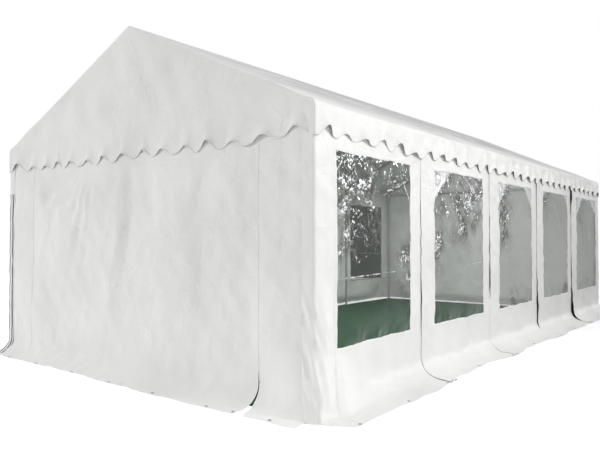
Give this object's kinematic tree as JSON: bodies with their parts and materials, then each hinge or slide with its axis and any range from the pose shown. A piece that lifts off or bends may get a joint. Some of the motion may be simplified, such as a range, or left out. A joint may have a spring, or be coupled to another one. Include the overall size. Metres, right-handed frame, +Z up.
{
  "type": "marquee tent",
  "caption": "Closed frame marquee: gabled white roof sheet with scalloped valances, clear-windowed side walls and zipped end walls with ground skirts, over a steel tube frame.",
  "frame": {"origin": "On the ground, at the middle of the tent's plan.", "axes": "+Y runs along the tent from the front gable (at -Y) to the back, +X is to the right seen from the front, +Z is up."},
  "size_m": [5.7294, 10.5294, 3.85],
  "materials": {
    "roof_fabric": "white coated fabric, semi-gloss",
    "wall_fabric": "white coated fabric, semi-gloss",
    "window_film": "clear flexible film, glossy",
    "galvanised_steel": "hot-dip galvanised tube, dull"
  },
  "bodies": {
    "root": {"leg_left_1": "galvanised_steel", "leg_left_2": "galvanised_steel", "leg_left_3": "galvanised_steel", "leg_left_4": "galvanised_steel", "leg_left_5": "galvanised_steel", "leg_left_6": "galvanised_steel", "leg_right_1": "galvanised_steel", "leg_right_2": "galvanised_steel", "leg_right_3": "galvanised_steel", "leg_right_4": "galvanised_steel", "leg_right_5": "galvanised_steel", "leg_right_6": "galvanised_steel", "roof_truss_1": "galvanised_steel", "roof_truss_2": "galvanised_steel", "roof_truss_3": "galvanised_steel", "roof_truss_4": "galvanised_steel", "roof_truss_5": "galvanised_steel", "roof_truss_6": "galvanised_steel", "gable_bar_front": "galvanised_steel", "gable_bar_back": "galvanised_steel", "eave_purlin_left": "galvanised_steel", "eave_purlin_right": "galvanised_steel", "ridge_purlin": "galvanised_steel", "roof_sheet": "roof_fabric", "valance_left": "roof_fabric", "valance_right": "roof_fabric", "gable_front": "roof_fabric", "gable_back": "roof_fabric", "side_wall_left_1": "wall_fabric", "window_left_1": "window_film", "side_wall_left_2": "wall_fabric", "window_left_2": "window_film", "side_wall_left_3": "wall_fabric", "window_left_3": "window_film", "side_wall_left_4": "wall_fabric", "window_left_4": "window_film", "side_wall_left_5": "wall_fabric", "window_left_5": "window_film", "side_wall_right_1": "wall_fabric", "window_right_1": "window_film", "side_wall_right_2": "wall_fabric", "window_right_2": "window_film", "side_wall_right_3": "wall_fabric", "window_right_3": "window_film", "side_wall_right_4": "wall_fabric", "window_right_4": "window_film", "side_wall_right_5": "wall_fabric", "window_right_5": "window_film", "end_wall_front_left": "wall_fabric", "end_wall_front_door": "wall_fabric", "end_wall_front_right": "wall_fabric", "end_wall_back_left": "wall_fabric", "end_wall_back_door": "wall_fabric", "end_wall_back_right": "wall_fabric"}
  },
  "joints": []
}
